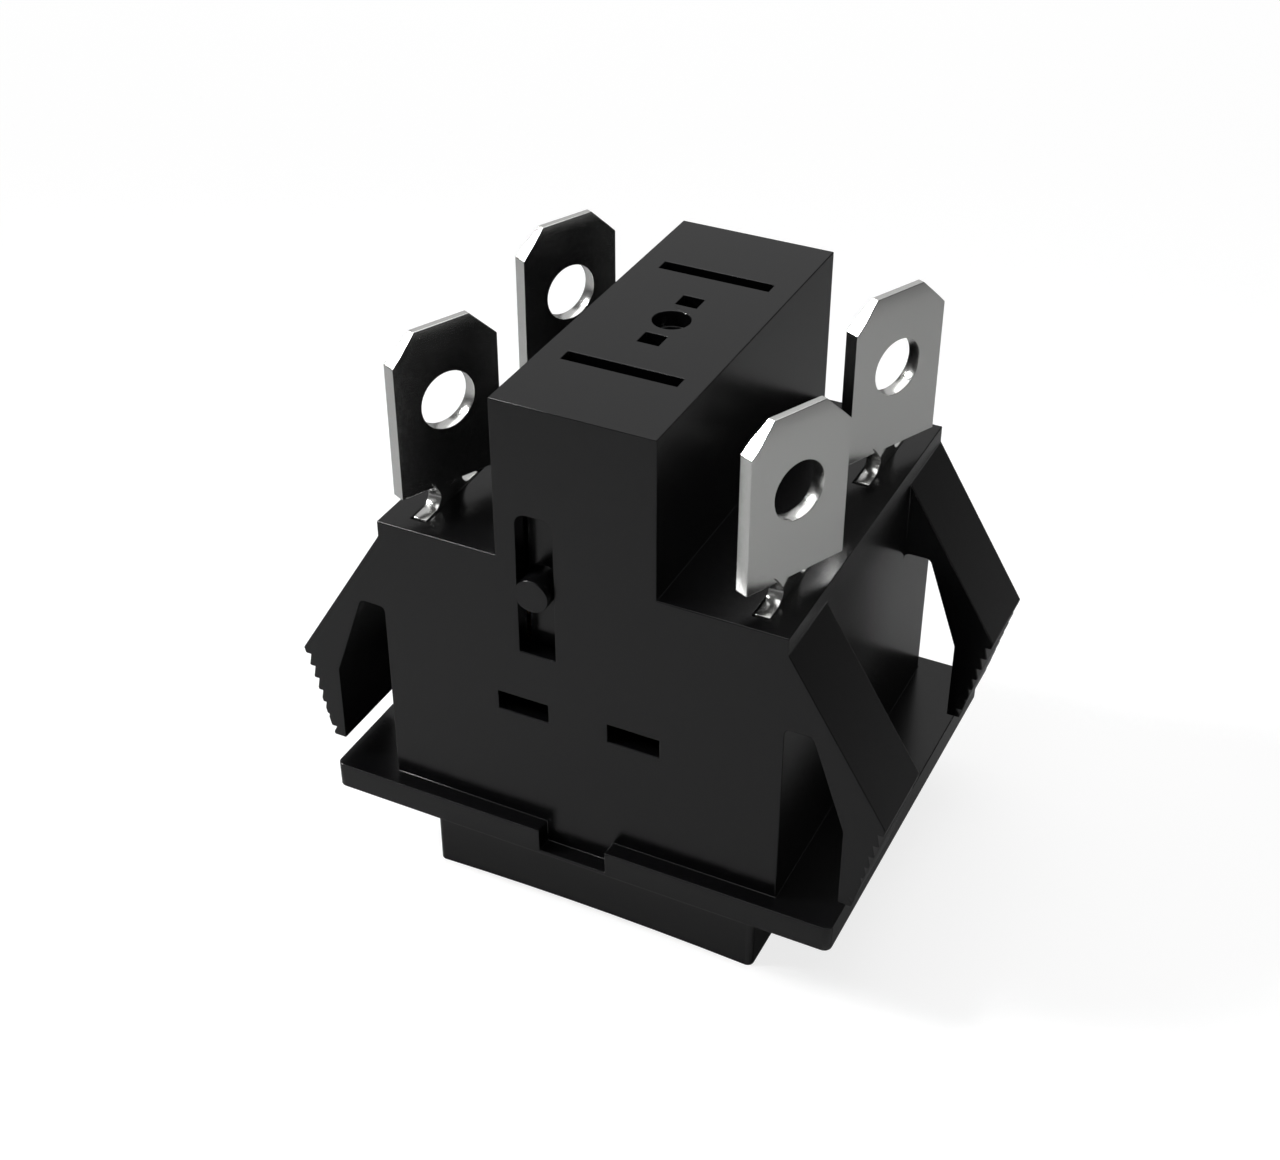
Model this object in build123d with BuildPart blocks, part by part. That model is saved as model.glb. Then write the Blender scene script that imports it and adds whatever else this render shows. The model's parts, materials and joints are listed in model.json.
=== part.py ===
from build123d import *
import os
from math import cos, radians, sin

# A snap-in double-pole push button switch, in millimetres.
# It stands on its button, with the terminals up. The origin is the middle of the button's face,
# X runs along the long side of the flange and Y along the short side.

# Flange and lower body of the housing
body_length = 23.0
body_depth = 22.0
body_height = 16.8
side_wall = 1.05
end_wall = 1.0
shoulder_thickness = 1.6
flange_end = 3.5
flange_rim = 1.0
flange_thickness = 1.6
flange_corner = 0.45

# Tower between the terminals
tower_width = 9.0
tower_height = 9.1
tower_wall = 1.2
roof_thickness = 1.2

# Snap arms, a front and a rear one at each end of the body
arm_width = 4.95
arm_lip = 0.95
arm_tip_reach = 5.62
arm_tip_rise = 6.8
arm_taper = 0.258
arm_foot_rise = 1.11
arm_inner_reach = 3.4
arm_knee_rise = 5.95
arm_gap_reach = 1.5
arm_gap_rise = 11.3
arm_gap_fillet = 0.35
tooth_count = 6
tooth_pitch = 0.79
tooth_rise = 6.43
tooth_depth = 0.325
tooth_lean = 0.2
tooth_fade = 6.1
foot_notch_depth = 0.32
foot_lip_rise = 1.28

# Button and its travel
button_proud = 5.35
button_face = 1.6
button_dish = 0.26
button_wall = 1.2
button_corner = 0.4
button_clearance = 0.1
button_ledge = 0.45
travel = 3.4
skirt_rise = 2.75
lug_reach = 0.4
lug_height = 1.2
lug_width = 3.0
lug_spacing = 10.0
socket_wall = 1.0
socket_height = 3.0
socket_clearance = 0.05
rib_thickness = 0.8
rib_height = 2.0

# Contact carrier, which stands in the button
carrier_clearance = 0.1
carrier_headroom = 0.35
carrier_wall = 1.0
seat_thickness = 1.1
lintel_thickness = 1.75
stem_depth = 8.0
stem_wall = 1.1
web_thickness = 1.2
web_drop = 3.2
seat_pin_height = 1.0

# Guide peg and its slot in the front face
peg_diameter = 1.9
peg_clearance = 0.1
peg_proud = 0.47
slot_length = 8.5
slot_rise = 11.15
slot_corner = 0.65
peg_stop_gap = 0.1

# Windows in the front face, and the notch in the flange's front edge
window_width = 3.0
window_height = 1.15
window_spacing = 6.44
window_rise = 6.92
notch_width = 4.0
notch_floor = 0.2

# Openings in the tower's roof
long_slot_margin = 0.125
long_slot_width = 0.86
long_slot_front = -5.63
long_slot_rear = 5.5
square_width = 1.2
square_depth = 1.1
square_spacing = 4.48
recess_diameter = 2.0
recess_depth = 0.9

# Terminals: a foot under the shoulder, a stem in its slot, a twisted neck and a tab
tab_width = 6.3
tab_thickness = 0.8
tab_length = 9.1
tab_corner = 1.5
tab_bevel = 0.2
tab_bevel_height = 1.0
tab_hole_diameter = 3.2
tab_hole_rise = 4.8
tab_twist = 25.0
tab_offset = 0.25
neck_height = 1.1
neck_width = 2.15
neck_radius = 0.7
neck_root_width = 3.0
neck_root_rise = 0.45
terminal_stem_width = 5.3
terminal_stem_rise = 0.1
terminal_inset = 0.85
foot_margin = 0.15
foot_bend = 0.9
slot_side_gap = 0.075
slot_end_gap = 0.05
slot_spare_length = 0.2
slot_rear_gap = 0.2

# Contacts and bridges
contact_inset = 2.2
contact_diameter = 3.0
contact_height = 0.7
contact_bevel = 0.2
shank_diameter = 1.5
bridge_width = 4.4
bridge_waist = 3.6
bridge_thickness = 0.8
bridge_corner = 0.8
bridge_gap = 0.1
bridge_end_gap = 0.15
contact_gap = 2.0

# Springs
return_wire = 0.5
return_coil = 4.6
return_turns = 8
return_clearance = 0.3
return_bore_depth = 13.2
return_pin_gap = 0.5
return_pin_length = 2.5
contact_wire = 0.4
contact_turns = 4
contact_spring_height = 4.55
contact_coil_inset = 0.1
contact_pin_gap = 0.3
wire_sides = 4

# Plan sizes that follow from the ones above
front = -body_depth / 2
flange_length = body_length + 2 * flange_end
flange_depth = body_depth + 2 * flange_rim
cavity_length = body_length - 2 * side_wall
cavity_depth = body_depth - 2 * end_wall
opening_length = cavity_length - 2 * button_ledge
opening_depth = cavity_depth
button_length = opening_length - 2 * button_clearance
button_depth = opening_depth - 2 * button_clearance
tower_cavity = tower_width - 2 * tower_wall
carrier_width = tower_cavity - 2 * carrier_clearance
carrier_depth = cavity_depth - 2 * carrier_clearance
slot_width = peg_diameter + 2 * peg_clearance
peg_x = (slot_width - tower_cavity) / 2
return_bore = return_coil + 2 * return_clearance
return_pin = return_coil - 2 * return_wire - 2 * return_pin_gap
contact_coil = bridge_waist - 2 * contact_coil_inset
seat_pin = contact_coil - 2 * contact_wire - 2 * contact_pin_gap
bridge_room = bridge_waist + 2 * bridge_gap
terminal_x = cavity_length / 2 - terminal_inset
terminal_slot_width = tab_thickness + 2 * slot_side_gap
terminal_slot_length = tab_width + slot_spare_length
slot_start = terminal_stem_width / 2 + slot_end_gap
contact_x = terminal_x - contact_inset
toe_x = contact_x - contact_diameter / 2 - foot_margin
bridge_length = 2 * contact_x + contact_diameter

# Heights that follow
flange_top = button_proud + flange_thickness
shoulder = flange_top + body_height
shoulder_under = shoulder - shoulder_thickness
tower_top = shoulder + tower_height
roof_under = tower_top - roof_thickness
foot_under = shoulder_under - tab_thickness
fixed_face = foot_under - contact_height
bridge_top = fixed_face - contact_gap - contact_height
bridge_under = bridge_top - bridge_thickness
seat = bridge_under - contact_spring_height
seat_under = seat - seat_thickness
carrier_top = roof_under - travel - carrier_headroom
return_bore_floor = carrier_top - return_bore_depth
slot_bottom = flange_top + slot_rise
slot_top = slot_bottom + slot_length
peg_z = slot_top - peg_diameter / 2 - travel - peg_stop_gap
stem_top = shoulder + terminal_stem_rise
tab_bottom = stem_top + neck_height
tab_top = tab_bottom + tab_length

# The two poles lie as far out as the end walls let their terminals go
poles = {
    "front": slot_start - cavity_depth / 2,
    "rear": cavity_depth / 2 - slot_rear_gap - terminal_slot_length + slot_start,
}
sides = {"left": -1, "right": 1}

os.makedirs("parts", exist_ok=True)


def finish(part, name):
    """Names a finished piece and writes its file."""
    part.label = name
    export_step(part, f"parts/{name}.step")


def arm_outline():
    """Outline of a right-hand snap arm, seen from the front, down its outer side and back up."""

    def tip_line(rise):
        return arm_tip_reach - (arm_tip_rise - rise) * arm_taper

    spots = [(0, body_height - arm_lip), (arm_tip_reach, arm_tip_rise)]
    # Each tooth ends in a ledge that faces down and grips the edge of the panel. The roots of the
    # teeth lie on a curve, so that the notches get shallower towards the foot
    for tooth in range(tooth_count):
        rise = tooth_rise - tooth * tooth_pitch
        depth = tooth_depth * (1 - (tooth / tooth_fade) ** 2)
        root = tip_line(rise) - depth
        drop = depth / (arm_taper + tooth_lean)
        spots.append((tip_line(rise), rise))
        spots.append((root, rise))
        spots.append((root + drop * tooth_lean, rise - drop))
    # The last notch is deep again, and leaves a lip round the foot
    last_rise = tooth_rise - tooth_count * tooth_pitch
    spots.append((tip_line(last_rise), last_rise))
    spots.append((tip_line(last_rise) - foot_notch_depth, last_rise))
    spots.append((tip_line(foot_lip_rise), foot_lip_rise))
    spots.append((tip_line(arm_foot_rise), arm_foot_rise))
    spots.append((arm_inner_reach, arm_foot_rise))
    spots.append((arm_inner_reach, arm_knee_rise))
    spots.append((arm_gap_reach, arm_gap_rise))
    spots.append((0, arm_gap_rise))
    return [(body_length / 2 + reach, flange_top + rise) for reach, rise in spots]


# Housing: one black moulding with the flange, the body, the tower and the four snap arms
with BuildPart() as housing:
    with BuildSketch(Plane.XY.offset(button_proud)):
        RectangleRounded(flange_length, flange_depth, flange_corner)
    extrude(amount=flange_thickness)
    with BuildSketch(Plane.XY.offset(flange_top)):
        Rectangle(body_length, body_depth)
    extrude(amount=body_height)
    with BuildSketch(Plane.XY.offset(shoulder)):
        Rectangle(tower_width, body_depth)
    extrude(amount=tower_height)

    # Snap arms, flush with the front and rear faces
    for face_plane, way in ((Plane.XZ.offset(-front), -1), (Plane.XZ.offset(front), 1)):
        with BuildSketch(face_plane):
            with BuildLine():
                Polyline(*arm_outline(), close=True)
            make_face()
            mirror(about=Plane.YZ)
        extrude(amount=way * arm_width)
    gap_edges = housing.edges().filter_by(Axis.Y)
    gap_edges = gap_edges.filter_by_position(
        Axis.Z,
        flange_top + arm_gap_rise - arm_gap_fillet / 2,
        flange_top + arm_gap_rise + arm_gap_fillet / 2,
    )
    fillet(gap_edges, arm_gap_fillet)

    # The way for the button, and the room for the mechanism above it
    with BuildSketch(Plane.XY.offset(button_proud)):
        Rectangle(opening_length, opening_depth)
    extrude(amount=flange_thickness, mode=Mode.SUBTRACT)
    with BuildSketch(Plane.XY.offset(flange_top)):
        Rectangle(cavity_length, cavity_depth)
    extrude(amount=shoulder_under - flange_top, mode=Mode.SUBTRACT)
    with BuildSketch(Plane.XY.offset(shoulder_under)):
        Rectangle(tower_cavity, cavity_depth)
    extrude(amount=roof_under - shoulder_under, mode=Mode.SUBTRACT)

    # Slot for the guide peg, round at its top and square at its foot
    with BuildSketch(Plane.XZ.offset(-front)) as peg_slot:
        with Locations((peg_x, slot_bottom + slot_length / 2)):
            Rectangle(slot_width, slot_length)
        fillet(peg_slot.vertices().group_by(Axis.Y)[-1], slot_corner)
    extrude(amount=-end_wall, mode=Mode.SUBTRACT)

    # Two windows in the front face
    with BuildSketch(Plane.XZ.offset(-front)):
        with Locations((0, flange_top + window_rise + window_height / 2)):
            with GridLocations(window_spacing, 1, 2, 1):
                Rectangle(window_width, window_height)
    extrude(amount=-end_wall, mode=Mode.SUBTRACT)

    # Notch in the front edge of the flange, over a thin floor
    with BuildSketch(Plane.XY.offset(flange_top)):
        with Locations((0, front)):
            Rectangle(notch_width, 2 * flange_rim, align=(Align.CENTER, Align.MAX))
    extrude(amount=notch_floor - flange_thickness, mode=Mode.SUBTRACT)

    # Openings in the roof: two long slots, two small ones and a round blind recess
    with BuildSketch(Plane.XY.offset(tower_top)):
        with Locations((0, long_slot_front), (0, long_slot_rear)):
            Rectangle(tower_cavity - 2 * long_slot_margin, long_slot_width)
        with GridLocations(1, square_spacing, 1, 2):
            Rectangle(square_width, square_depth)
    extrude(amount=-roof_thickness, mode=Mode.SUBTRACT)
    with BuildSketch(Plane.XY.offset(tower_top)):
        Circle(recess_diameter / 2)
    extrude(amount=-recess_depth, mode=Mode.SUBTRACT)

    # Pin under the roof that centres the return spring
    with BuildSketch(Plane.XY.offset(roof_under)):
        Circle(return_pin / 2)
    extrude(amount=-return_pin_length)

    # Slots that the terminals pass through; each stem stands at the front end of its slot
    with BuildSketch(Plane.XY.offset(shoulder)):
        for side in sides.values():
            for pole in poles.values():
                with Locations((side * terminal_x, pole - slot_start)):
                    Rectangle(
                        terminal_slot_width,
                        terminal_slot_length,
                        align=(Align.CENTER, Align.MIN),
                    )
    extrude(amount=-shoulder_thickness, mode=Mode.SUBTRACT)
finish(housing.part, "housing")

# Button: a hollow cap with snap lugs, a socket for the carrier and stiffening ribs
with BuildPart() as button:
    with BuildSketch():
        RectangleRounded(button_length, button_depth, button_corner)
    extrude(amount=flange_top + skirt_rise)

    # The face is hollowed along its length, so that the button stands on its two ends
    dish_radius = (button_length**2 / 4 + button_dish**2) / (2 * button_dish)
    with BuildSketch(Plane.XZ.offset(-button_depth / 2)):
        with Locations((0, button_dish - dish_radius)):
            Circle(dish_radius)
    extrude(amount=button_depth, mode=Mode.SUBTRACT)

    # Room inside
    inner_length = button_length - 2 * button_wall
    inner_depth = button_depth - 2 * button_wall
    with BuildSketch(Plane.XY.offset(button_face)):
        Rectangle(inner_length, inner_depth)
    extrude(amount=flange_top + skirt_rise - button_face, mode=Mode.SUBTRACT)

    # Lugs that snap over the flange and hold the button in; their tops slope for assembly
    for side in sides.values():
        for lug_y in (-lug_spacing / 2, lug_spacing / 2):
            with BuildSketch(Plane.XZ.offset(-lug_y - lug_width / 2)):
                with BuildLine():
                    wall = side * button_length / 2
                    Polyline(
                        (wall, flange_top),
                        (wall + side * lug_reach, flange_top),
                        (wall + side * lug_reach, flange_top + lug_height / 3),
                        (wall, flange_top + lug_height),
                        close=True,
                    )
                make_face()
            extrude(amount=lug_width)

    # Ribs across the floor, and the socket for the foot of the carrier
    with BuildSketch(Plane.XY.offset(button_face)):
        Rectangle(inner_length, rib_thickness)
        Rectangle(rib_thickness, inner_depth)
    extrude(amount=rib_height)
    socket_length = carrier_width + 2 * socket_clearance
    socket_depth = stem_depth + 2 * socket_clearance
    with BuildSketch(Plane.XY.offset(button_face)):
        Rectangle(socket_length + 2 * socket_wall, socket_depth + 2 * socket_wall)
    extrude(amount=socket_height)
    with BuildSketch(Plane.XY.offset(button_face)):
        Rectangle(socket_length, socket_depth)
    extrude(amount=socket_height, mode=Mode.SUBTRACT)
finish(button.part, "button")

# Contact carrier: a moulding that stands in the button's socket and slides in the tower
with BuildPart() as carrier:
    with BuildSketch(Plane.XY.offset(seat_under)):
        Rectangle(carrier_width, carrier_depth)
    extrude(amount=carrier_top - seat_under)
    with BuildSketch(Plane.XY.offset(button_face)):
        Rectangle(carrier_width, stem_depth)
        Rectangle(
            carrier_width - 2 * stem_wall,
            stem_depth - 2 * stem_wall,
            mode=Mode.SUBTRACT,
        )
    extrude(amount=seat_under - button_face)

    # Room for each bridge, open at the end, with a pin on its seat that holds the contact spring
    for pole in poles.values():
        end = 1 if pole > 0 else -1
        room_inner = pole - end * bridge_room / 2
        with BuildSketch(Plane.YZ.offset(-carrier_width / 2)):
            with Locations(((room_inner + end * carrier_depth / 2) / 2, (seat + bridge_top) / 2)):
                Rectangle(abs(end * carrier_depth / 2 - room_inner), bridge_top - seat)
        extrude(amount=carrier_width, mode=Mode.SUBTRACT)
        with BuildSketch(Plane.XY.offset(seat)):
            with Locations((0, pole)):
                Circle(seat_pin / 2)
        extrude(amount=seat_pin_height)

        # Web under the seat
        with BuildSketch(Plane.YZ.offset(-web_thickness / 2)):
            with BuildLine():
                Polyline(
                    (end * stem_depth / 2, seat_under),
                    (end * (carrier_depth / 2 - carrier_wall), seat_under),
                    (end * stem_depth / 2, seat_under - web_drop),
                    close=True,
                )
            make_face()
        extrude(amount=web_thickness)

    # Bore for the return spring, and a pocket at each end that keeps the walls even
    with BuildSketch(Plane.XY.offset(carrier_top)):
        Circle(return_bore / 2)
    extrude(amount=-return_bore_depth, mode=Mode.SUBTRACT)
    pocket_inner = return_bore / 2 + carrier_wall
    pocket_outer = carrier_depth / 2 - carrier_wall
    with BuildSketch(Plane.XY.offset(carrier_top)):
        with GridLocations(1, pocket_inner + pocket_outer, 1, 2):
            Rectangle(carrier_width - 2 * carrier_wall, pocket_outer - pocket_inner)
    extrude(amount=bridge_top + lintel_thickness - carrier_top, mode=Mode.SUBTRACT)

    # Guide peg, which reaches out through the slot in the front face
    with BuildSketch(Plane.XZ.offset(carrier_depth / 2)):
        with Locations((peg_x, peg_z)):
            Circle(peg_diameter / 2)
    extrude(amount=peg_proud - front - carrier_depth / 2)
finish(carrier.part, "contact_carrier")


def terminal(side, pole):
    """Terminal bent from strip, with its neck twisted so that the tab can't drop back."""
    stem_x = side * terminal_x + slot_side_gap
    outer = stem_x + side * tab_thickness / 2
    inner = stem_x - side * tab_thickness / 2
    toe = side * toe_x
    twist = radians(tab_twist)
    along = (sin(twist), cos(twist), 0)
    across = (cos(twist), -sin(twist), 0)
    tab_middle = (stem_x + tab_offset, pole, 0)
    tab_plane = Plane(origin=tab_middle, x_dir=along, z_dir=across)
    edge_plane = Plane(origin=tab_middle, x_dir=across, z_dir=(-along[0], -along[1], 0))
    with BuildPart() as piece:
        # Foot and stem
        with BuildSketch(Plane.XZ.offset(-pole - terminal_stem_width / 2)) as strip:
            with BuildLine():
                Polyline(
                    (outer, stem_top),
                    (inner, stem_top),
                    (inner, shoulder_under),
                    (toe, shoulder_under),
                    (toe, foot_under),
                    (outer, foot_under),
                    close=True,
                )
            make_face()
            heel = strip.vertices().sort_by(Axis.Y)[:2].sort_by(Axis.X)[0 if side < 0 else -1]
            fillet(heel, foot_bend)
        extrude(amount=terminal_stem_width)

        # Neck: round notches leave a narrow web above the stem
        with BuildSketch(Plane.YZ.offset(stem_x - tab_thickness / 2)):
            with Locations((pole, stem_top + neck_radius / 2)):
                Rectangle(neck_width + 2 * neck_radius, neck_radius)
            with Locations((pole, stem_top + neck_radius)):
                with GridLocations(neck_width + 2 * neck_radius, 1, 2, 1):
                    Circle(neck_radius, mode=Mode.SUBTRACT)
        extrude(amount=tab_thickness)

        # The web widens and twists into the root of the tab
        twist_start = stem_top + neck_radius
        twist_end = tab_bottom + neck_root_rise
        for turn in (0.0, 0.5, 1.0):
            angle = turn * twist
            level = Plane(
                origin=(
                    stem_x + turn * tab_offset,
                    pole,
                    twist_start + turn * (twist_end - twist_start),
                ),
                x_dir=(sin(angle), cos(angle), 0),
                z_dir=(0, 0, 1),
            )
            with BuildSketch(level):
                Rectangle(neck_width + turn**2 * (neck_root_width - neck_width), tab_thickness)
        loft()

        # Tab, with its top corners cut, its tip thinned on both faces, and a hole
        with BuildSketch(tab_plane.offset(-tab_thickness / 2)) as tab:
            with Locations((0, tab_bottom + tab_length / 2)):
                Rectangle(tab_width, tab_length)
            chamfer(tab.vertices().group_by(Axis.Y)[-1], tab_corner)
            with Locations((0, tab_bottom + tab_hole_rise)):
                Circle(tab_hole_diameter / 2, mode=Mode.SUBTRACT)
        extrude(amount=tab_thickness)
        with BuildSketch(edge_plane):
            for face in (-1, 1):
                with BuildLine():
                    Polyline(
                        (face * tab_thickness / 2, tab_top - tab_bevel_height),
                        (face * tab_thickness / 2, tab_top),
                        (face * (tab_thickness / 2 - tab_bevel), tab_top),
                        close=True,
                    )
                make_face()
        extrude(amount=tab_width / 2, both=True, mode=Mode.SUBTRACT)

        # Hole in the foot for the shank of the fixed contact
        with BuildSketch(Plane.XY.offset(foot_under)):
            with Locations((side * contact_x, pole)):
                Circle(shank_diameter / 2)
        extrude(amount=tab_thickness, mode=Mode.SUBTRACT)
    return piece.part


def contact(x, y, z, way, grip):
    """Rivet with its head on the face at height z, pointing up or down, and its shank behind."""
    plane = Plane(origin=(x, y, z), x_dir=(1, 0, 0), z_dir=(0, -way, 0))
    with BuildPart() as rivet:
        with BuildSketch(plane):
            with BuildLine():
                Polyline(
                    (0, -grip),
                    (shank_diameter / 2, -grip),
                    (shank_diameter / 2, 0),
                    (contact_diameter / 2, 0),
                    (contact_diameter / 2, contact_height - contact_bevel),
                    (contact_diameter / 2 - contact_bevel, contact_height),
                    (0, contact_height),
                    close=True,
                )
            make_face()
        revolve(axis=Axis((x, y, z), (0, 0, 1)))
    return rivet.part


def bridge(pole):
    """Bridge contact: a flat strip, narrow where it passes through the carrier."""
    waist_half = carrier_width / 2 + bridge_end_gap
    head = bridge_length / 2 - waist_half
    with BuildPart() as strip:
        with BuildSketch(Plane.XY.offset(bridge_under)):
            with Locations((0, pole)):
                Rectangle(2 * waist_half + head, bridge_waist)
                with GridLocations(2 * waist_half + head, 1, 2, 1):
                    RectangleRounded(head, bridge_width, bridge_corner)
                with GridLocations(2 * contact_x, 1, 2, 1):
                    Circle(shank_diameter / 2, mode=Mode.SUBTRACT)
        extrude(amount=bridge_thickness)
    return strip.part


def coil_spring(middle, coil, wire, turns, low, high):
    """Compression spring between two heights; its round wire is drawn with flat sides."""
    height = high - low - wire
    with BuildPart() as spring:
        with BuildLine() as path:
            Helix(height / turns, height, (coil - wire) / 2, center=(0, middle, low + wire / 2))
        with BuildSketch(Plane(origin=path.line @ 0, z_dir=path.line % 0)):
            RegularPolygon(wire / 2, wire_sides)
        sweep(is_frenet=True)
    return spring.part


# Terminals and contacts of the two poles
for row, pole in poles.items():
    for hand, side in sides.items():
        finish(terminal(side, pole), f"terminal_{row}_{hand}")
        spot = side * contact_x
        fixed = contact(spot, pole, foot_under, -1, tab_thickness)
        finish(fixed, f"fixed_contact_{row}_{hand}")
        moving = contact(spot, pole, bridge_top, 1, bridge_thickness)
        finish(moving, f"moving_contact_{row}_{hand}")
    finish(bridge(pole), f"bridge_{row}")
    lift = coil_spring(pole, contact_coil, contact_wire, contact_turns, seat, bridge_under)
    finish(lift, f"contact_spring_{row}")

# Return spring, from the floor of the carrier's bore up to the roof
push_back = coil_spring(
    0, return_coil, return_wire, return_turns, return_bore_floor, roof_under
)
finish(push_back, "return_spring")
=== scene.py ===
import json
import math

import bpy
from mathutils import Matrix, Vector

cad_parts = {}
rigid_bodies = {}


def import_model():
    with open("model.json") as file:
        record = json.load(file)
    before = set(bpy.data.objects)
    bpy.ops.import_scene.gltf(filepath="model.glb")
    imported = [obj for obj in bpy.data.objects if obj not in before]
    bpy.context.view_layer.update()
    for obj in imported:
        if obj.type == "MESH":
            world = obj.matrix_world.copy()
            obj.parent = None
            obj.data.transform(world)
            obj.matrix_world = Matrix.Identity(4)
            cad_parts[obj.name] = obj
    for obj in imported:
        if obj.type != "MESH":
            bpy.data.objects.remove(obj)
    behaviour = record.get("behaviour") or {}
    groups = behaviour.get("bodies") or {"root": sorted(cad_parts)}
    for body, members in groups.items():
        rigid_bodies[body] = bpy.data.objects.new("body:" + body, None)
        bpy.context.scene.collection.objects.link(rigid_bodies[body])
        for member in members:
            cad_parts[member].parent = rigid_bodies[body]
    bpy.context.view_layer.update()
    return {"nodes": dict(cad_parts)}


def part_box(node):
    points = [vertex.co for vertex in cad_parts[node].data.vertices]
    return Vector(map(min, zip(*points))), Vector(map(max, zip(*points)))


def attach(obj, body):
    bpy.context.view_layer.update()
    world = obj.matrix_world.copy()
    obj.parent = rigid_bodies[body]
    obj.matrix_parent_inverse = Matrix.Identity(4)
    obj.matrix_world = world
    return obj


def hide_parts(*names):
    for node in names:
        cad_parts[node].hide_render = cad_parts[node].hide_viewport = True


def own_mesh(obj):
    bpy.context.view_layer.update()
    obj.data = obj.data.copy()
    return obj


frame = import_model()


# Housing
# One injection moulding of black nylon: flange, body, tower and four snap arms. Its steel mould was
# spark-eroded, which leaves a fine even grain, and every edge of the moulding has a tiny radius.
HOUSING_BLACK = "#050506"
HOUSING_EDGE_RADIUS = 0.00006
HOUSING_ROUGHNESS = (0.2, 0.27)
NYLON_IOR = 1.5
ERODED_GRAIN = 0.00012
GRAIN_HEIGHT = 0.00001
GRAIN_STRENGTH = 0.1
NOISE_RANGE = (0.3, 0.7)
MERGE_DISTANCE = 0.000002
FLAT_WITHIN = math.radians(0.6)
SHARPEST_SMOOTH_TURN = math.radians(25)


def linear(hex_colour):
    """sRGB hex to linear RGBA."""
    channels = [int(hex_colour[i:i + 2], 16) / 255 for i in (1, 3, 5)]
    return [c / 12.92 if c <= 0.04045 else ((c + 0.055) / 1.055) ** 2.4 for c in channels] + [1.0]


def add_node(tree, kind, settings, links):
    """A node with its settings; links maps its inputs to the outputs that feed them."""
    node = tree.nodes.new(kind)
    for name, value in settings.items():
        if isinstance(name, int) or name in node.inputs.keys():
            node.inputs[name].default_value = value
        else:
            setattr(node, name, value)
    for name, output in links.items():
        tree.links.new(output, node.inputs[name])
    return node


def select_only(piece):
    """The piece alone is selected and active."""
    bpy.ops.object.select_all(action="DESELECT")
    piece.select_set(True)
    bpy.context.view_layer.objects.active = piece


def dress(piece, finish):
    """The finish becomes the piece's only material."""
    piece.data.materials.clear()
    piece.data.materials.append(finish)


def rounded_copy(node_name, piece_name, radius):
    """A merged copy of a CAD node whose edges have a real radius."""
    piece = frame["nodes"][node_name].copy()
    piece.data = piece.data.copy()
    piece.name = piece_name
    piece.data.name = piece_name
    bpy.context.scene.collection.objects.link(piece)
    select_only(piece)
    bpy.ops.object.parent_clear(type="CLEAR_KEEP_TRANSFORM")
    bpy.ops.object.mode_set(mode="EDIT")
    bpy.ops.mesh.select_all(action="SELECT")
    bpy.ops.mesh.customdata_custom_splitnormals_clear()
    bpy.ops.mesh.remove_doubles(threshold=MERGE_DISTANCE)
    bpy.ops.mesh.dissolve_limited(angle_limit=FLAT_WITHIN)
    bpy.ops.object.mode_set(mode="OBJECT")
    bevel = piece.modifiers.new("edge radius", "BEVEL")
    bevel.width = radius
    bevel.segments = 2
    bevel.limit_method = "ANGLE"
    bevel.angle_limit = SHARPEST_SMOOTH_TURN
    bevel.use_clamp_overlap = False
    bpy.ops.object.modifier_apply(modifier="edge radius")
    bpy.ops.object.shade_smooth()
    normals = piece.modifiers.new("flat faces", "WEIGHTED_NORMAL")
    normals.weight = 100
    bpy.ops.object.modifier_apply(modifier="flat faces")
    return piece


spark_eroded_nylon = bpy.data.materials.new("spark_eroded_black_nylon")
spark_eroded_nylon.use_nodes = True
tree = spark_eroded_nylon.node_tree
shader = tree.nodes["Principled BSDF"]
# Black nylon has almost no colour of its own: what shows is the satin sheen of the eroded grain
shader.inputs["Base Color"].default_value = linear(HOUSING_BLACK)
shader.inputs["IOR"].default_value = NYLON_IOR
place = add_node(tree, "ShaderNodeTexCoord", {}, {})
grain = add_node(
    tree, "ShaderNodeTexNoise",
    {"Scale": 1 / ERODED_GRAIN, "Detail": 3.0, "Roughness": 0.6},
    {"Vector": place.outputs["Object"]},
)
sheen = add_node(
    tree, "ShaderNodeMapRange",
    {
        "From Min": NOISE_RANGE[0],
        "From Max": NOISE_RANGE[1],
        "To Min": HOUSING_ROUGHNESS[0],
        "To Max": HOUSING_ROUGHNESS[1],
    },
    {"Value": grain.outputs["Fac"]},
)
tree.links.new(sheen.outputs["Result"], shader.inputs["Roughness"])
bumps = add_node(
    tree, "ShaderNodeBump",
    {"Strength": GRAIN_STRENGTH, "Distance": GRAIN_HEIGHT},
    {"Height": grain.outputs["Fac"]},
)
tree.links.new(bumps.outputs["Normal"], shader.inputs["Normal"])

housing = rounded_copy("housing", "housing_moulding", HOUSING_EDGE_RADIUS)
dress(housing, spark_eroded_nylon)
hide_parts("housing")
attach(housing, "housing")


# Button
# The square cap that is pressed, moulded like the housing and snapped in from below. Its face is
# slightly hollow along its length, so that a finger finds the middle.
button = rounded_copy("button", "button_cap", HOUSING_EDGE_RADIUS)
dress(button, spark_eroded_nylon)
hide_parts("button")
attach(button, "plunger")


# Contact carrier and guide peg
# The inner slide of plain black nylon, from a mould polished so that it runs freely, and therefore
# smoother than the housing. The end of its round peg shows in the slot of the front face.
CARRIER_BLACK = "#09090A"
CARRIER_EDGE_RADIUS = 0.00005
CARRIER_ROUGHNESS = (0.16, 0.22)
FLOW_MARKS = 0.0006

polished_nylon = bpy.data.materials.new("polished_tool_black_nylon")
polished_nylon.use_nodes = True
tree = polished_nylon.node_tree
shader = tree.nodes["Principled BSDF"]
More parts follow.
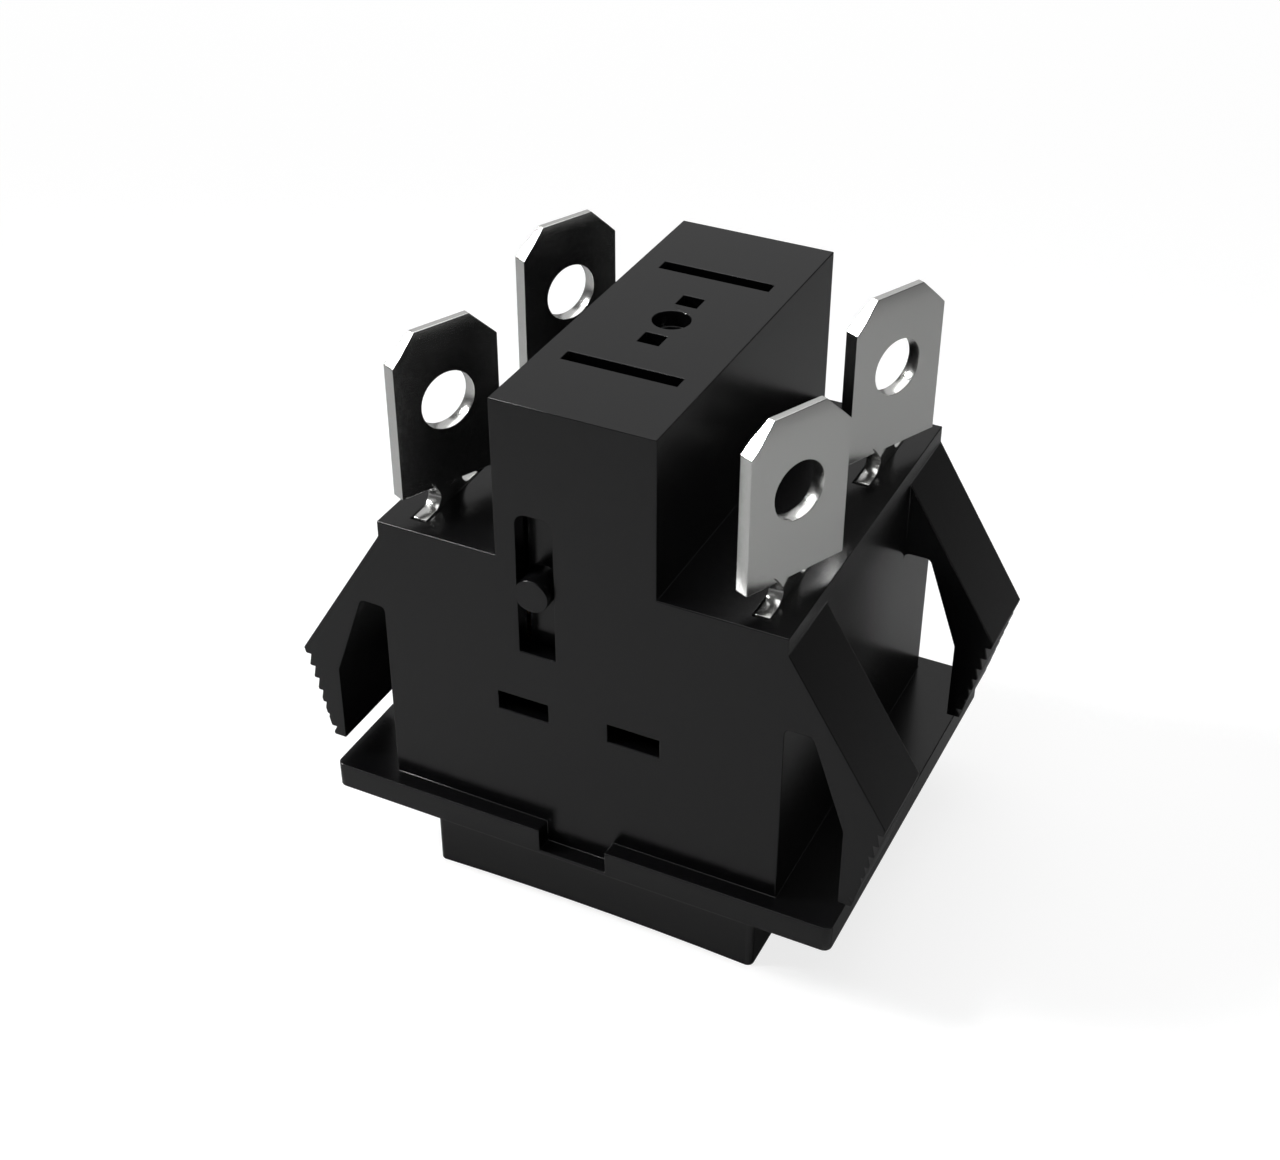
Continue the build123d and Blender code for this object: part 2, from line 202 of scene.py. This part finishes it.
# The polished tool gives a soft gloss, which faint flow marks break up
shader.inputs["Base Color"].default_value = linear(CARRIER_BLACK)
shader.inputs["IOR"].default_value = NYLON_IOR
place = add_node(tree, "ShaderNodeTexCoord", {}, {})
flow = add_node(
    tree, "ShaderNodeTexNoise",
    {"Scale": 1 / FLOW_MARKS, "Detail": 2.0},
    {"Vector": place.outputs["Object"]},
)
gloss = add_node(
    tree, "ShaderNodeMapRange",
    {
        "From Min": NOISE_RANGE[0],
        "From Max": NOISE_RANGE[1],
        "To Min": CARRIER_ROUGHNESS[0],
        "To Max": CARRIER_ROUGHNESS[1],
    },
    {"Value": flow.outputs["Fac"]},
)
tree.links.new(gloss.outputs["Result"], shader.inputs["Roughness"])

carrier = rounded_copy("contact_carrier", "contact_carrier_moulding", CARRIER_EDGE_RADIUS)
dress(carrier, polished_nylon)
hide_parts("contact_carrier")
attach(carrier, "plunger")


# Terminals
# Brass strip of 0.8 mm, blanked, bent and plated with tin. The neck is twisted once the tab is through,
# so that a tab can't drop back into its slot.
TIN_PLATING = "#F0F0EE"
TERMINAL_EDGE_RADIUS = 0.00004
TIN_ROUGHNESS = (0.2, 0.26)
ROLLING_MARKS = 0.00025

plated_tin = bpy.data.materials.new("tin_plated_brass_strip")
plated_tin.use_nodes = True
tree = plated_tin.node_tree
shader = tree.nodes["Principled BSDF"]
# Tin is a pale, soft mirror, and the rolled strip below it leaves a slight haze
shader.inputs["Base Color"].default_value = linear(TIN_PLATING)
shader.inputs["Metallic"].default_value = 1.0
place = add_node(tree, "ShaderNodeTexCoord", {}, {})
haze = add_node(
    tree, "ShaderNodeTexNoise",
    {"Scale": 1 / ROLLING_MARKS, "Detail": 2.0},
    {"Vector": place.outputs["Object"]},
)
polish = add_node(
    tree, "ShaderNodeMapRange",
    {
        "From Min": NOISE_RANGE[0],
        "From Max": NOISE_RANGE[1],
        "To Min": TIN_ROUGHNESS[0],
        "To Max": TIN_ROUGHNESS[1],
    },
    {"Value": haze.outputs["Fac"]},
)
tree.links.new(polish.outputs["Result"], shader.inputs["Roughness"])

for row in ("front", "rear"):
    for hand in ("left", "right"):
        name = f"terminal_{row}_{hand}"
        blade = rounded_copy(name, f"{name}_blade", TERMINAL_EDGE_RADIUS)
        dress(blade, plated_tin)
        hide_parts(name)
        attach(blade, "housing")


# Contacts
# Rivets of silver alloy, headed cold: four into the feet of the terminals, and two into each bridge.
# The dies leave flat round heads with a bevelled rim, which meet when the button is pressed.
CONTACT_SILVER = "#E4E1DB"
SILVER_ROUGHNESS = (0.26, 0.38)
COINING_MARKS = 0.0003

coined_silver = bpy.data.materials.new("coined_silver_alloy")
coined_silver.use_nodes = True
tree = coined_silver.node_tree
shader = tree.nodes["Principled BSDF"]
# Cold heading leaves the pale silver satin rather than bright
shader.inputs["Base Color"].default_value = linear(CONTACT_SILVER)
shader.inputs["Metallic"].default_value = 1.0
place = add_node(tree, "ShaderNodeTexCoord", {}, {})
marks = add_node(
    tree, "ShaderNodeTexNoise",
    {"Scale": 1 / COINING_MARKS, "Detail": 3.0},
    {"Vector": place.outputs["Object"]},
)
satin = add_node(
    tree, "ShaderNodeMapRange",
    {
        "From Min": NOISE_RANGE[0],
        "From Max": NOISE_RANGE[1],
        "To Min": SILVER_ROUGHNESS[0],
        "To Max": SILVER_ROUGHNESS[1],
    },
    {"Value": marks.outputs["Fac"]},
)
tree.links.new(satin.outputs["Result"], shader.inputs["Roughness"])

for row in ("front", "rear"):
    for hand in ("left", "right"):
        dress(frame["nodes"][f"fixed_contact_{row}_{hand}"], coined_silver)
        dress(frame["nodes"][f"moving_contact_{row}_{hand}"], coined_silver)


# Bridges
# Blanked from rolled brass strip, narrow where it passes through the carrier. Each one stands on its
# contact spring there, and joins the two fixed contacts of its pole when the button is pressed.
BRIDGE_BRASS = "#DEC28B"
BRASS_ROUGHNESS = (0.22, 0.36)
ROLLED_LINES = 0.00015
ROLLED_LINE_STRETCH = 0.04

rolled_brass = bpy.data.materials.new("rolled_brass_strip")
rolled_brass.use_nodes = True
tree = rolled_brass.node_tree
shader = tree.nodes["Principled BSDF"]
# The rolls leave fine lines along the strip, which lies along X
shader.inputs["Base Color"].default_value = linear(BRIDGE_BRASS)
shader.inputs["Metallic"].default_value = 1.0
place = add_node(tree, "ShaderNodeTexCoord", {}, {})
along_strip = add_node(
    tree, "ShaderNodeMapping",
    {"Scale": (ROLLED_LINE_STRETCH, 1, 1)},
    {"Vector": place.outputs["Object"]},
)
lines = add_node(
    tree, "ShaderNodeTexNoise",
    {"Scale": 1 / ROLLED_LINES, "Detail": 2.0},
    {"Vector": along_strip.outputs["Vector"]},
)
lustre = add_node(
    tree, "ShaderNodeMapRange",
    {
        "From Min": NOISE_RANGE[0],
        "From Max": NOISE_RANGE[1],
        "To Min": BRASS_ROUGHNESS[0],
        "To Max": BRASS_ROUGHNESS[1],
    },
    {"Value": lines.outputs["Fac"]},
)
tree.links.new(lustre.outputs["Result"], shader.inputs["Roughness"])

for row in ("front", "rear"):
    dress(frame["nodes"][f"bridge_{row}"], rolled_brass)


# Springs
# Round spring steel wire, drawn and coiled cold; the end turns are closed and ground flat. The return
# spring stands in the carrier and pushes against the roof, and one under each bridge presses it up.
SPRING_STEEL = "#B4B4B6"
STEEL_ROUGHNESS = (0.2, 0.32)
DRAWN_LINES = 0.00008
RETURN_WIRE = 0.0005
RETURN_TURNS = 9
CONTACT_WIRE = 0.0004
CONTACT_TURNS = 5
WIRE_SIDES = 16
STEPS_PER_TURN = 40
CLOSED_PITCH = 1.04
GROUND_OFF = 0.5
JOIN_DISTANCE = 0.000001
GRINDING_TOLERANCE = 0.0000001

drawn_steel = bpy.data.materials.new("drawn_spring_steel")
drawn_steel.use_nodes = True
tree = drawn_steel.node_tree
shader = tree.nodes["Principled BSDF"]
# Drawing through the die polishes the wire, and the coiler leaves it slightly streaked
shader.inputs["Base Color"].default_value = linear(SPRING_STEEL)
shader.inputs["Metallic"].default_value = 1.0
place = add_node(tree, "ShaderNodeTexCoord", {}, {})
streaks = add_node(
    tree, "ShaderNodeTexNoise",
    {"Scale": 1 / DRAWN_LINES, "Detail": 2.0},
    {"Vector": place.outputs["Object"]},
)
shine = add_node(
    tree, "ShaderNodeMapRange",
    {
        "From Min": NOISE_RANGE[0],
        "From Max": NOISE_RANGE[1],
        "To Min": STEEL_ROUGHNESS[0],
        "To Max": STEEL_ROUGHNESS[1],
    },
    {"Value": streaks.outputs["Fac"]},
)
tree.links.new(shine.outputs["Result"], shader.inputs["Roughness"])


def wound_spring(node_name, piece_name, wire, turns):
    """A coil of round wire as high as the CAD node, with closed end turns that are ground flat."""
    low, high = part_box(node_name)
    coil_radius = (high.x - low.x - wire) / 2
    start = low.z + wire / 2 - GROUND_OFF * wire
    rise = high.z - low.z - wire + 2 * GROUND_OFF * wire
    closed_pitch = CLOSED_PITCH * wire
    open_pitch = (rise - 2 * closed_pitch) / (turns - 2)
    lengths = []
    for length_turns, pitch in ((1, closed_pitch), (turns - 2, open_pitch), (1, closed_pitch)):
        bpy.ops.object.select_all(action="DESELECT")
        bpy.ops.mesh.primitive_circle_add(
            vertices=WIRE_SIDES, radius=wire / 2, rotation=(math.pi / 2, 0, 0)
        )
        length = bpy.context.object
        bpy.ops.object.transform_apply(location=False, rotation=True, scale=False)
        bpy.ops.object.mode_set(mode="EDIT")
        bpy.ops.mesh.select_all(action="SELECT")
        bpy.ops.transform.translate(value=(coil_radius, 0, start))
        bpy.ops.object.mode_set(mode="OBJECT")
        winding = length.modifiers.new("winding", "SCREW")
        winding.axis = "Z"
        winding.iterations = length_turns
        winding.steps = STEPS_PER_TURN
        winding.render_steps = STEPS_PER_TURN
        winding.screw_offset = pitch
        bpy.ops.object.modifier_apply(modifier="winding")
        lengths.append(length)
        start += length_turns * pitch
    bpy.ops.object.select_all(action="DESELECT")
    for length in lengths:
        length.select_set(True)
    bpy.context.view_layer.objects.active = lengths[0]
    bpy.ops.object.join()
    piece = bpy.context.object
    piece.name = piece_name
    piece.data.name = piece_name
    bpy.ops.object.mode_set(mode="EDIT")
    bpy.ops.mesh.select_all(action="SELECT")
    bpy.ops.mesh.remove_doubles(threshold=JOIN_DISTANCE)
    bpy.ops.mesh.fill_holes(sides=WIRE_SIDES)
    for end, outward in ((low.z, -1), (high.z, 1)):
        bpy.ops.mesh.select_all(action="SELECT")
        bpy.ops.mesh.bisect(
            plane_co=(0, 0, end), plane_no=(0, 0, outward),
            use_fill=True, clear_outer=True, threshold=GRINDING_TOLERANCE,
        )
    bpy.ops.mesh.select_all(action="SELECT")
    bpy.ops.mesh.normals_make_consistent(inside=False)
    bpy.ops.transform.translate(value=((low.x + high.x) / 2, (low.y + high.y) / 2, 0))
    bpy.ops.object.mode_set(mode="OBJECT")
    bpy.ops.object.shade_smooth_by_angle(angle=SHARPEST_SMOOTH_TURN)
    dress(piece, drawn_steel)
    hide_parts(node_name)
    return piece, low, high


return_spring, low, high = wound_spring(
    "return_spring", "return_spring_coil", RETURN_WIRE, RETURN_TURNS
)
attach(return_spring, "housing")
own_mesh(return_spring)

for row in ("front", "rear"):
    contact_spring, low, high = wound_spring(
        f"contact_spring_{row}", f"contact_spring_{row}_coil", CONTACT_WIRE, CONTACT_TURNS
    )
    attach(contact_spring, "plunger")
    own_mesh(contact_spring)


# Studio
# A pale table under one large soft lamp, high over the switch. A small one with a grid lights the table
# at its front left, which the dark faces mirror, and a weak one behind shows as a sheen on top.
TABLE_SIDE = 4
TABLE_GREY = "#9A9A9A"
TABLE_WHITE_FOR_CAMERA = 0.8
TABLE_WHITE_IN_GLOSS = 0.02
SKY = 0.08

bpy.ops.object.select_all(action="DESELECT")
bpy.ops.mesh.primitive_plane_add(size=TABLE_SIDE, location=(0, 0, 0))
table = bpy.context.object
table.name = "studio_floor"
pale_table = bpy.data.materials.new("matt_pale_table")
pale_table.use_nodes = True
tree = pale_table.node_tree
shader = tree.nodes["Principled BSDF"]
shader.inputs["Base Color"].default_value = linear(TABLE_GREY)
shader.inputs["Roughness"].default_value = 1.0
shader.inputs["Specular IOR Level"].default_value = 0.0
shader.inputs["Emission Color"].default_value = (1, 1, 1, 1)
ray = add_node(tree, "ShaderNodeLightPath", {}, {})
mirrored = add_node(
    tree, "ShaderNodeMath", {"operation": "MAXIMUM"},
    {0: ray.outputs["Is Glossy Ray"], 1: ray.outputs["Is Transmission Ray"]},
)
seen = add_node(
    tree, "ShaderNodeMath", {"operation": "MULTIPLY", 1: TABLE_WHITE_FOR_CAMERA},
    {0: ray.outputs["Is Camera Ray"]},
)
glow = add_node(
    tree, "ShaderNodeMath", {"operation": "MULTIPLY_ADD", 1: TABLE_WHITE_IN_GLOSS},
    {0: mirrored.outputs["Value"], 2: seen.outputs["Value"]},
)
tree.links.new(glow.outputs["Value"], shader.inputs["Emission Strength"])
table.data.materials.append(pale_table)

sky = bpy.data.worlds.new("studio_sky")
bpy.context.scene.world = sky
sky.use_nodes = True
tree = sky.node_tree
backdrop = tree.nodes["Background"]
backdrop.inputs["Color"].default_value = (1, 1, 1, 1)
ray = add_node(tree, "ShaderNodeLightPath", {}, {})
brightness = add_node(
    tree, "ShaderNodeMapRange", {"To Min": SKY, "To Max": 1.0},
    {"Value": ray.outputs["Is Camera Ray"]},
)
tree.links.new(brightness.outputs["Result"], backdrop.inputs["Strength"])


def soft_lamp(name, place, aim, side, watts, spread):
    """A square lamp of a given side; a grid on its front limits the spread of its light."""
    lamp = bpy.data.lights.new(name, "AREA")
    lamp.size = side
    lamp.energy = watts
    lamp.spread = math.radians(spread)
    stand = bpy.data.objects.new(name, lamp)
    bpy.context.scene.collection.objects.link(stand)
    stand.location = place
    stand.rotation_euler = (Vector(aim) - Vector(place)).to_track_quat("-Z", "Y").to_euler()


soft_lamp(
    "overhead_lamp", place=(-0.08, 0.06, 0.6), aim=(0, 0, 0.015), side=0.7, watts=2.25, spread=180
)
soft_lamp(
    "left_lamp", place=(-0.3, -0.14, 0.25), aim=(-0.02, -0.05, 0), side=0.12, watts=0.07, spread=26
)
soft_lamp(
    "rear_lamp", place=(-0.12, 0.245, 0.2), aim=(0, 0, 0.015), side=0.3, watts=0.11, spread=180
)

camera_data = bpy.data.cameras.new("camera")
camera_data.lens = 55.891
camera_data.sensor_width = 36
camera_data.clip_start = 0.001
camera = bpy.data.objects.new("camera", camera_data)
bpy.context.scene.collection.objects.link(camera)
camera.location = (0.038349, -0.081651, 0.080172)
camera.rotation_euler = (math.radians(54.854), math.radians(-0.05), math.radians(26.205))
bpy.context.scene.camera = camera
bpy.context.scene.view_settings.view_transform = "Standard"
